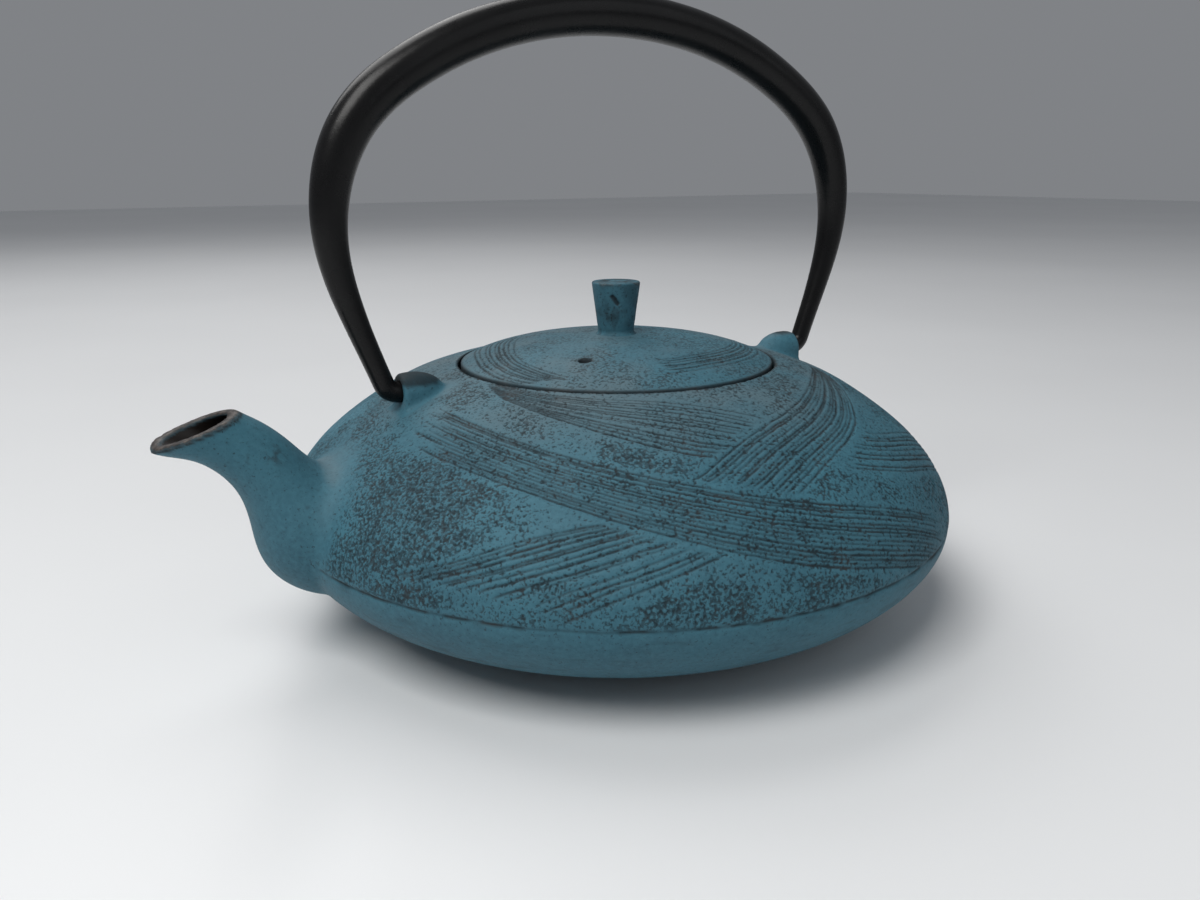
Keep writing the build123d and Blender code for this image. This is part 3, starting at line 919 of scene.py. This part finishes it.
def lid_strokes():
    """The lid's own strokes: curved lines at the left and at the right."""
    sheet = StrokeSheet(42.0)
    strokes = [
        ([(-14, 20), (-24, 8), (-29, -8), (-23, -27)],
         [(-24, 29), (-34, 12), (-37.5, -6), (-32, -20)], 9),
        ([(-6, -25), (7, -25), (19, -20), (29, -9), (30, 6)],
         [(-11, -31), (5, -33), (22, -27), (35, -13), (38, 6)], 7),
        ([(26, 22), (6, 34), (-16, 30)], [(20, 14), (2, 23), (-16, 20)], 8),
    ]
    for k, (near_edge, far_edge, lines) in enumerate(strokes):
        sheet.stroke(near_edge, far_edge, lines, seed=40 + k)
    return sheet


def grain(points, thickness):
    """Short worm-like pits of the mould, 0 to 1. They lie closer where thickness is near 1."""
    p = np.asarray(points, float)
    warped = p + 0.4 * np.stack([lattice.at(p + o, 1.3) - 0.5 for o in (5, 41, 83)], -1)
    worms = 0.86 * lattice.at(warped, 0.40) + 0.14 * lattice.at(warped + 31, 0.9)
    limit = 0.78 - 0.29 * thickness
    return step(worms, limit - 0.06, limit + 0.08)


# Where the grain lies thick or thin on the flat sheet: middle, reach in mm, how much
GRAIN_PATCHES = [
    ((-72, -38), 14, 0.42), ((-55, -68), 9, 0.20), ((-2, -92), 22, 0.22), ((-38, -28), 9, 0.30),
    ((-22, -60), 9, 0.42), ((4, -70), 8, 0.35), ((-50, -58), 8, -0.60), ((34, -74), 12, -0.30),
    ((-62, -16), 10, -0.30), ((-80, -48), 9, 0.25),
]


def grain_thickness(points, u, v, cover):
    """How thick the grain lies, 0 to 1: by cloudy chance, by patch, and thinner in strokes."""
    thick = 0.32 + 0.50 * step(lattice.layered(points + 11, 13.0, 3), 0.36, 0.62)
    for (middle_u, middle_v), reach, amount in GRAIN_PATCHES:
        thick = thick + amount * near(np.hypot(u - middle_u, v - middle_v), reach)
    return np.clip(thick, 0.10, 0.95) * (1 - 0.55 * cover)


# ---------------------------------------------------------------- the castings
LINE_DEPTH = 0.36
PIT_DEPTH = 0.17
BELT_LINE_DEPTH = 0.30
ABOVE_BELT_RISE = 0.10
# Dark specks on the spout: middle, reach in mm
SPOUT_SPECKS = [((-87, -8, 50), 2.6), ((-74, -13, 49), 5.0), ((-80, -12, 42), 2.0)]


def casting_skin(field, low, high, voxel, is_fine):
    """A field's skin in even quads, cut in four where is_fine(their middles) says so, and
    the triangles between both sizes."""
    points, quads = meshed(field, low, high, voxel)
    points = settled(field, points)
    points, quads, triangles = split_quads(points, quads, is_fine(points[quads].mean(1)))
    return settled(field, points, 1), [quads, triangles]


def pot_is_fine(middle):
    on_outside = np.abs(outer_section.at(np.hypot(middle[:, 0], middle[:, 1]), middle[:, 2])) < 0.6
    return on_outside & (middle[:, 2] > BELT_Z - 2.5)


def build_pot(material):
    voxel = 0.62
    points, faces = casting_skin(pot_field, (-113, -87, -2), (87, 87, 66), voxel, pot_is_fine)
    x, y, z = points.T
    r = np.hypot(x, y)
    normal = slope_of(pot_field, points)

    # where the mould's pattern is
    on_shell = 1 - step(np.abs(outer_section.at(r, z)), 0.10, 0.8)
    off_spout = step(spout_field.at(points), 1.0, 5.0)
    off_lugs = step(lug_field(x, y, z), 0.6, 3.2)
    belt_edge = BELT_Z + 0.35 * (lattice.at(points, 3.0) - 0.5)
    above = step(z, belt_edge, belt_edge + 0.8)
    facing_up = step(normal[:, 2], -0.2, 0.15)
    textured = on_shell * off_spout * off_lugs * above * facing_up

    # how deep it goes
    sheet = shell_strokes()
    u, v = sheet_place(points)
    line, cover = sheet.lines_and_cover(points, u, v)
    thickness = grain_thickness(points, u, v, cover)
    pits = grain(points, thickness)
    rough_line = line * (0.75 + 0.5 * lattice.at(points, 0.9))
    depth = LINE_DEPTH * np.clip(rough_line, 0, 1.1)
    depth = depth + PIT_DEPTH * pits * (1 - 0.6 * np.clip(line, 0, 1))

    off_spout_root = step(spout_field.at(points), 0.2, 1.6)
    belt_line = near(z - belt_edge, 0.38) * on_shell * off_spout_root
    belt_line = belt_line * (0.45 + 0.55 * step(lattice.layered(points + 5, 3.2, 2), 0.35, 0.60))
    smooth_skin = 0.05 * (lattice.layered(points, 7.0, 3) - 0.5)
    outward = -depth * textured - BELT_LINE_DEPTH * belt_line + smooth_skin
    outward = outward + ABOVE_BELT_RISE * above * on_shell * off_spout
    in_shell, in_spout = -outer_section.at(r, z), -spout_field.at(points)
    inside = np.maximum(step(in_shell, 1.6, 2.4), step(in_spout, 1.2, 1.7))
    outward = outward * (1 - inside)
    outward = np.where(z < 0.5, np.minimum(outward, 0), outward)
    points = points + normal * outward[:, None]
    points[:, 2] = np.maximum(points[:, 2], 0)

    # what is dark or worn, and where the patina is greyer from dust and painted sheen
    skin = np.c_[x, y, z]
    at_mouth = step(-x, 88, 91)
    mouth_rim = step(-mouth_side(skin), 0.75, 0.25) * at_mouth
    rim_outline = near(mouth_side(skin) + 0.85, 0.35) * at_mouth
    seam = near(r - MOUTH_R, 0.45) * step(z, SEAT_Z, MOUTH_Z - 1.0)
    on_lug = 1 - step(np.abs(lug_field(x, y, z)), 0.3, 0.9)
    worn_from = np.where(x < 0, HINGE_Z + 0.6, HINGE_Z + 3.0)
    ragged = 1.6 * (lattice.layered(points, 2.2) - 0.5)
    lug_wear = step(z + ragged, worn_from, worn_from + 1.6) * on_lug
    streaks = lattice.layered(points * (0.25, 0.25, 1.0) + 9, 1.5)
    low_band = (1 - above) * on_shell * step(streaks, 0.50, 0.75) * 0.30
    specks = 0
    for at, reach in SPOUT_SPECKS:
        gap = np.linalg.norm(skin - at, axis=1)
        specks = specks + near(gap, reach) * step(lattice.layered(points + 29, 1.1), 0.42, 0.62)
    specks = specks + 0.5 * step(lattice.layered(points + 63, 1.3), 0.66, 0.74)
    spout_marks = (1 - off_spout) * specks * 0.7
    dark = textured * np.clip(1.15 * line + 0.70 * pits, 0, 1) + 0.85 * belt_line
    dark = np.clip(dark + 0.9 * seam + low_band + spout_marks + 0.85 * lug_wear + rim_outline, 0, 1)
    dark = dark * (1 - inside)
    # Upward faces are greyer: settled dust, and painted sheen where they are seen at a grazing angle.
    dust_and_sheen = np.clip(step(normal[:, 2], 0.80, 0.98) * 0.9 + 0.10, 0, 1) * (1 - inside)
    stipple = textured * thickness * (1 - 0.5 * np.clip(line, 0, 1)) * (1 - inside)
    attributes = {
        "dark": dark, "bare": mouth_rim, "dust_and_sheen": dust_and_sheen, "stipple": stipple,
        "enamel": inside * (1 - mouth_rim),
    }
    return new_piece("pot_casting", points, faces, material, attributes)


# Lid section
LID_EDGE_Z = 60.2
LID_REST_Z = 57.0
LID_THICKNESS = 3.0
LID_SKIRT_R, LID_SKIRT_WALL = 33.2, 2.2
LID_SKIRT_BOTTOM_Z = LID_LOW[2]
KNOB_SPOT_R = 5.6
LID_DOME = [(KNOB_SPOT_R, LID_TOP_Z), (20.0, 65.5), (32.4, 63.0), (LID_R, LID_EDGE_Z)]
VENT_AT = (-19.0, -18.0)
VENT_R = 1.5
RIVET_HOLE_R = 2.1


def lid_outline():
    def dome(drop):
        return clamped_line(
            [(r, z - drop) for r, z in LID_DOME], (1, -0.02), (1, -0.55), 60)
    top, under = dome(0), dome(LID_THICKNESS)
    skirt_in = LID_SKIRT_R - LID_SKIRT_WALL
    under = under[under[:, 0] < skirt_in][::-1]
    return np.vstack([
        (0, LID_TOP_Z), top, (LID_R, LID_REST_Z), (LID_SKIRT_R, LID_REST_Z),
        (LID_SKIRT_R, LID_SKIRT_BOTTOM_Z), (skirt_in, LID_SKIRT_BOTTOM_Z),
        under, (0, LID_TOP_Z - LID_THICKNESS),
    ])


lid_section = SectionField(lid_outline())


def lid_field(points):
    x, y, z = points.T
    solid = lid_section.at(np.hypot(x, y), z)
    solid = blend_max(solid, np.hypot(x, y) - LID_R, 0.3)
    vent = VENT_R - np.hypot(x - VENT_AT[0], y - VENT_AT[1])
    solid = blend_max(solid, vent, 0.5)
    return np.maximum(solid, RIVET_HOLE_R - np.hypot(x, y))


def lid_is_fine(middle):
    return (middle[:, 2] > LID_EDGE_Z - 0.9) & (slope_of(lid_field, middle)[:, 2] > 0.2)


def build_lid(material):
    reach = LID_R + 2
    points, faces = casting_skin(
        lid_field, (-reach, -reach, LID_SKIRT_BOTTOM_Z - 2), (reach, reach, LID_TOP_Z + 2),
        0.6, lid_is_fine)
    x, y, z = points.T
    r = np.hypot(x, y)
    normal = slope_of(lid_field, points)
    top = step(normal[:, 2], 0.3, 0.7) * (z > LID_EDGE_Z - 1.2)
    away = step(r, KNOB_SPOT_R - 0.4, KNOB_SPOT_R + 2.5) * (1 - step(r, LID_R - 1.2, LID_R - 0.2))
    sheet = lid_strokes()
    line, cover = sheet.lines_and_cover(points, x, y)
    thick = 0.22 + 0.40 * step(lattice.layered(points + 71, 9.0, 3), 0.36, 0.60)
    pits = grain(points + 71, thick * (1 - 0.4 * cover))
    depth = LINE_DEPTH * line + 0.7 * PIT_DEPTH * pits * (1 - 0.6 * line)
    outward = -depth * top * away + 0.04 * (lattice.layered(points, 7.0) - 0.5)
    points = points + normal * outward[:, None]
    under = 1 - step(normal[:, 2], -0.4, 0.0) * (z > LID_REST_Z - 0.5)
    rim = near(r - LID_R, 0.55) * (z > LID_REST_Z)
    vent_edge = near(np.hypot(x - VENT_AT[0], y - VENT_AT[1]) - VENT_R, 0.3)
    foot = near(r - KNOB_SPOT_R + 0.2, 0.5) * top
    dark = top * away * np.clip(1.1 * line + 0.6 * pits, 0, 1)
    dark = dark + 0.85 * rim + 0.9 * vent_edge - 0.3 * foot
    # The lid's top is greyer in clouds: dust, and painted sheen of its upward faces.
    dust_and_sheen = np.clip(0.35 + 0.6 * step(lattice.layered(points + 3, 16.0), 0.4, 0.62), 0, 1)
    attributes = {
        "dark": np.clip(dark, 0, 1), "bare": np.zeros(len(x)), "dust_and_sheen": dust_and_sheen * (1 - under),
        "stipple": top * away * thick, "enamel": under,
    }
    return new_piece("lid_casting", points, faces, material, attributes)


# ---------------------------------------------------------------- knob, rivet, washer
KNOB_FOOT_R, KNOB_WAIST_R = 5.2, 4.5
KNOB_FOOT_H = 1.1
KNOB_BORE_R, KNOB_BORE_DEPTH = 2.02, 7.4
# The chip in the knob's side: how far below the top, and its lean across and down
CHIP_BELOW_TOP = 4.3
CHIP_LEAN = (0.81, 0.58)


def knob_profile(low, rim_r, rim_z, top):
    side = np.linspace(0, 1, 60)
    wall_r = KNOB_WAIST_R + (rim_r - KNOB_WAIST_R - 0.05) * side
    wall = np.c_[wall_r, low + KNOB_FOOT_H + (rim_z - low - KNOB_FOOT_H - 0.4) * side]
    foot = [
        (KNOB_FOOT_R - (KNOB_FOOT_R - KNOB_WAIST_R) * math.sin(a), low + KNOB_FOOT_H * (1 - math.cos(a)))
        for a in np.linspace(0, math.pi / 2, 8)]
    edge = arc((rim_r - 0.45, rim_z - 0.1), 0.45, 0, 70, 7)
    crown = [(q * (rim_r - 0.3), top - 0.5 * q * q) for q in np.linspace(0.95, 0.004, 26)]
    bore_top = low + KNOB_BORE_DEPTH
    core = [(0.02, bore_top), (KNOB_BORE_R, bore_top), (KNOB_BORE_R, low + 0.02)]
    return np.vstack([foot, wall[1:], edge, crown, core])


def build_knob(material):
    low, rim_z, top = KNOB_LOW[2], KNOB_HIGH[2] - 0.6, KNOB_HIGH[2]
    profile = knob_profile(low, KNOB_HIGH[0], rim_z, top)
    points, faces = revolved(profile, 200)
    x, y, z = points.T
    r = np.maximum(np.hypot(x, y), 1e-6)
    skin = r > KNOB_BORE_R + 0.3
    sideways = 0.85 * x - 0.52 * y + 0.2
    front = 0.52 * x + 0.85 * y < 0
    height = z - (top - CHIP_BELOW_TOP)
    chip_off = sideways * CHIP_LEAN[0] + height * CHIP_LEAN[1]
    chip_along = np.abs(sideways * CHIP_LEAN[1] - height * CHIP_LEAN[0])
    chip = near(chip_off, 0.45) * (1 - step(chip_along, 1.0, 1.8)) * front
    pits = grain(points + 140, np.full(len(points), 0.12))
    outward = (0.10 * (lattice.layered(points, 3.5) - 0.5) - 0.42 * chip - 0.05 * pits) * skin
    points = points + np.c_[x / r, y / r, np.zeros(len(x))] * outward[:, None]
    rim_wear = near(z - rim_z, 0.5) * step(lattice.layered(points + 3, 2.0), 0.45, 0.65)
    top_dark = step(z, rim_z + 0.15, rim_z + 0.5) * step(lattice.layered(points + 8, 2.4), 0.35, 0.6)
    streak = step(lattice.at(points * (1, 1, 0.25) + 60, 1.3), 0.62, 0.8) * step(top - z, 4, 8)
    shade = 0.16 + 0.22 * step(lattice.layered(points + 90, 3.0, 3), 0.40, 0.62)
    dark = np.clip(chip * 1.3 + shade + 0.35 * pits + 0.55 * top_dark + 0.30 * streak, 0, 1)
    attributes = {
        "dark": dark, "bare": np.clip(0.5 * rim_wear, 0, 1),
        "dust_and_sheen": np.full(len(x), 0.1), "enamel": np.zeros(len(x)),
    }
    return new_piece("knob", points, faces, material, attributes)


def build_rivet(material):
    """The pin up into the knob, with its lower end beaten over against the washer."""
    shank, head_r = 2.0, RIVET_HIGH[0]
    top, shelf, bottom = RIVET_HIGH[2], WASHER_LOW[2], RIVET_LOW[2]
    head = [(head_r * math.cos(a) + 0.01, shelf - (shelf - bottom) * math.sin(a))
            for a in np.linspace(0.05, math.pi / 2 - 0.01, 14)]
    profile = np.vstack([(0.02, top), (shank, top), (shank, shelf), (head_r, shelf), head])[::-1]
    points, faces = revolved(profile, 96)
    beaten = points[:, 2] < shelf - 0.1
    points[:, 2] += np.abs(0.22 * (lattice.layered(points + 4, 1.8) - 0.5)) * beaten
    return new_piece("rivet", points, faces, material)


def build_washer(material):
    low, high = WASHER_LOW[2], WASHER_HIGH[2]
    outer, inner, round_off = WASHER_HIGH[0], 2.1, 0.18
    profile = [
        (inner, low), (outer - round_off, low), (outer, low + round_off),
        (outer, high - round_off), (outer - round_off, high), (inner, high),
    ]
    return new_piece("washer", *revolved(profile, 96), material, smooth=False)


# ---------------------------------------------------------------- bail handle
HOOK_R = 2.4
ELBOW_X, ELBOW_R, ELBOW_TURN = 57.6, 3.6, math.radians(70.0)
PIN_END_X = HOOK_HOLE_END_X + 0.4
BAIL_TOP_Z, BAIL_TOP_R = 141.0, 4.85
BAIL_SHOULDER = [(66.8, 76.5), (70.3, 93.0), (63.7, 116.2), (50.0, 127.8), (30.0, 136.7)]
BAIL_THICK_FROM = 0.25


def build_bail(material):
    elbow_end = (
        ELBOW_X + ELBOW_R * math.sin(ELBOW_TURN), HINGE_Z + ELBOW_R * (1 - math.cos(ELBOW_TURN)))
    right = [elbow_end] + BAIL_SHOULDER
    left = [(-x, z) for x, z in right[::-1]]
    out, up = math.cos(ELBOW_TURN), math.sin(ELBOW_TURN)
    arch = clamped_line(right + [(0, BAIL_TOP_Z)] + left, (out, up), (out, -up), 260)
    run = chord_knots(arch)
    share = run / run[-1]
    arch_radii = HOOK_R + (BAIL_TOP_R - HOOK_R) * step(np.minimum(share, 1 - share), 0, BAIL_THICK_FROM)
    turn = np.linspace(0, ELBOW_TURN, 14)[:-1]
    elbow = np.c_[ELBOW_X + ELBOW_R * np.sin(turn), HINGE_Z + ELBOW_R * (1 - np.cos(turn))]
    pin = np.c_[[PIN_END_X, PIN_END_X + 0.35, PIN_END_X + 1.5, PIN_END_X + 4], [HINGE_Z] * 4]
    start = np.vstack([pin, elbow])
    flat = np.vstack([start, arch, (start * (-1, 1))[::-1]])
    pin_radii = np.full(len(start), HOOK_R)
    pin_radii[0] = HOOK_R - 0.35
    radii = np.r_[pin_radii, arch_radii, pin_radii[::-1]]
    line = np.c_[flat[:, 0], np.zeros(len(flat)), flat[:, 1]]
    points, faces = swept(line, radii, 48)
    arched = step(points[:, 2], HINGE_Z + 8, HINGE_Z + 16)
    uneven = 0.07 * (lattice.layered(points, 9.0, 2) - 0.5) * arched
    ring_of = np.clip(np.arange(len(points)) // (len(points) // (len(line) + 2)) - 1, 0, len(line) - 1)
    away = points - line[ring_of]
    away /= np.maximum(np.linalg.norm(away, axis=1), 1e-6)[:, None]
    points = points + away * uneven[:, None]
    return new_piece("handle_bar", points, faces, material)


# ---------------------------------------------------------------- infuser basket
MESH_PITCH = 0.95 * 1
WIRE_R = 0.14
WEAVE_SWING = WIRE_R * 0.42
SHEET = 0.4
COLLAR_SHEET = 0.6
COLLAR_SKIRT_R = 35.5
WELDS = 24


def build_wall_mesh(material):
    """Plain-woven wire cloth bent into a cylinder: wires round it and wires up it."""
    middle = MESH_HIGH[0] - SHEET / 2
    low, high = MESH_LOW[2], MESH_HIGH[2]
    uprights = int(round(2 * math.pi * middle / MESH_PITCH / 2)) * 2
    hoops = int((high - low) / MESH_PITCH)
    parts = []
    heights = low + 0.2 + (high - low - 0.4) * (np.arange(hoops) + 0.5) / hoops
    bearing = np.arange(uprights) * 2 * math.pi / uprights
    for k, height in enumerate(heights):
        sway = WEAVE_SWING * np.where((np.arange(uprights) + k) % 2 == 0, 1, -1)
        r = middle + sway
        line = np.c_[r * np.cos(bearing), r * np.sin(bearing), np.full(uprights, height)]
        parts.append(swept(line, WIRE_R, 5, closed=True))
    for k in range(uprights):
        sway = WEAVE_SWING * np.where((np.arange(hoops) + k) % 2 == 0, -1, 1)
        r = np.r_[middle, middle + sway, middle]
        z = np.r_[low + 0.01, heights, high - 0.01]
        line = np.c_[r * math.cos(bearing[k]), r * math.sin(bearing[k]), z]
        parts.append(swept(line, WIRE_R, 5))
    return new_piece("basket_wall", *joined(parts), material)


def build_base_mesh(material):
    """The same wire cloth laid flat and cut round."""
    radius = BASE_MESH_HIGH[0] - 0.15
    middle = (BASE_MESH_LOW[2] + BASE_MESH_HIGH[2]) / 2
    count = int(radius / MESH_PITCH)
    lanes = np.arange(-count, count + 1) * MESH_PITCH
    parts = []
    for k, lane in enumerate(lanes):
        half = math.sqrt(max(radius**2 - lane**2, 0))
        inside = np.flatnonzero(np.abs(lanes) < half - 0.2)
        if len(inside) < 2:
            continue
        sway = WEAVE_SWING * np.where((inside + k) % 2 == 0, 1, -1)
        place = np.r_[-half, lanes[inside], half]
        for along_x in (True, False):
            height = middle + np.r_[0, sway if along_x else -sway, 0]
            lane_line = np.full(len(place), lane)
            line = np.c_[place, lane_line, height] if along_x else np.c_[lane_line, place, height]
            parts.append(swept(line, WIRE_R, 5))
    return new_piece("basket_base", *joined(parts), material)


def build_collar(material):
    """Spun collar: a flange with a soft outer edge, a small bend, and a straight skirt."""
    low, top = COLLAR_LOW[2], COLLAR_HIGH[2]
    half, bend = COLLAR_SHEET / 2, 0.8
    edge = arc((COLLAR_HIGH[0] - half, top - half), half, -90, 90, 9)
    bend_in = arc((COLLAR_SKIRT_R - COLLAR_SHEET + bend, top - bend), bend, 90, 180, 7)
    hem = arc((COLLAR_SKIRT_R - half, low + half), half, 180, 360, 9)
    profile = edge + bend_in + hem + [(COLLAR_SKIRT_R, top - COLLAR_SHEET)]
    return new_piece("basket_collar", *revolved(profile, 220), material)


def build_clamp_band(material):
    """The thin inner band, with a row of spot welds that dimple it."""
    outer, inner = BAND_HIGH[0], BAND_HIGH[0] - SHEET
    low, top = BAND_LOW[2], BAND_HIGH[2]
    heights = np.linspace(low, top, 26)
    profile = [(outer, z) for z in heights] + [(inner, z) for z in heights[::-1]]
    points, faces = revolved(profile, 720)
    x, y, z = points.T
    r = np.hypot(x, y)
    bearing = np.arctan2(y, x)
    weld_step = 2 * math.pi / WELDS
    nearest = np.round(bearing / weld_step) * weld_step
    gap = np.hypot((bearing - nearest) * r, z - (low + top) / 2)
    dimple = 0.12 * near(gap, 0.9) * (r < (outer + inner) / 2)
    points[:, 0] += x / r * dimple
    points[:, 1] += y / r * dimple
    return new_piece("basket_band", points, faces, material)


def build_base_ring(material):
    """The channel that holds the cloth bottom: an outer leg and a lip below."""
    outer, inner = BASE_RING_HIGH[0], BASE_RING_HIGH[0] - SHEET
    low, top = BASE_RING_LOW[2], BASE_RING_HIGH[2]
    half, lip = SHEET / 2, 3.0
    corner = arc((outer - SHEET, low + SHEET), SHEET, 270, 360, 6)
    hem = arc((outer - half, top - half), half, 0, 180, 7)
    tongue = arc((inner - lip + half, low + half), half, 90, 270, 7)
    profile = corner + hem + [(inner, low + SHEET)] + tongue
    return new_piece("basket_ring", *revolved(profile, 220), material)


# ---------------------------------------------------------------- the whole
def place(piece, body, node, slot):
    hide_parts(node)
    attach(piece, body)


add_camera()
add_studio()

patina = patina_material()
lacquer = lacquer_material()
stainless = steel_material("basket_steel", (0.62, 0.62, 0.61), 0.20, 0.34, True)
wire = steel_material("mesh_steel", (0.58, 0.58, 0.57), 0.24, 0.36, False)
plain_steel = steel_material("rivet_steel", (0.40, 0.39, 0.37), 0.35, 0.55, False)

place(build_pot(patina), "pot", "pot_body", "patina_iron")
place(build_lid(patina), "lid", "lid", "patina_iron")
place(build_knob(patina), "lid", "lid_knob", "patina_iron")
place(build_rivet(plain_steel), "lid", "knob_rivet", "rivet_steel")
place(build_washer(plain_steel), "lid", "knob_washer", "rivet_steel")
place(build_bail(lacquer), "handle", "bail_handle", "black_lacquer")
place(build_collar(stainless), "infuser", "infuser_collar", "basket_steel")
place(build_clamp_band(stainless), "infuser", "infuser_clamp_band", "basket_steel")
place(build_base_ring(stainless), "infuser", "infuser_base_ring", "basket_steel")
place(build_wall_mesh(wire), "infuser", "infuser_wall_mesh", "mesh_steel")
place(build_base_mesh(wire), "infuser", "infuser_base_mesh", "mesh_steel")
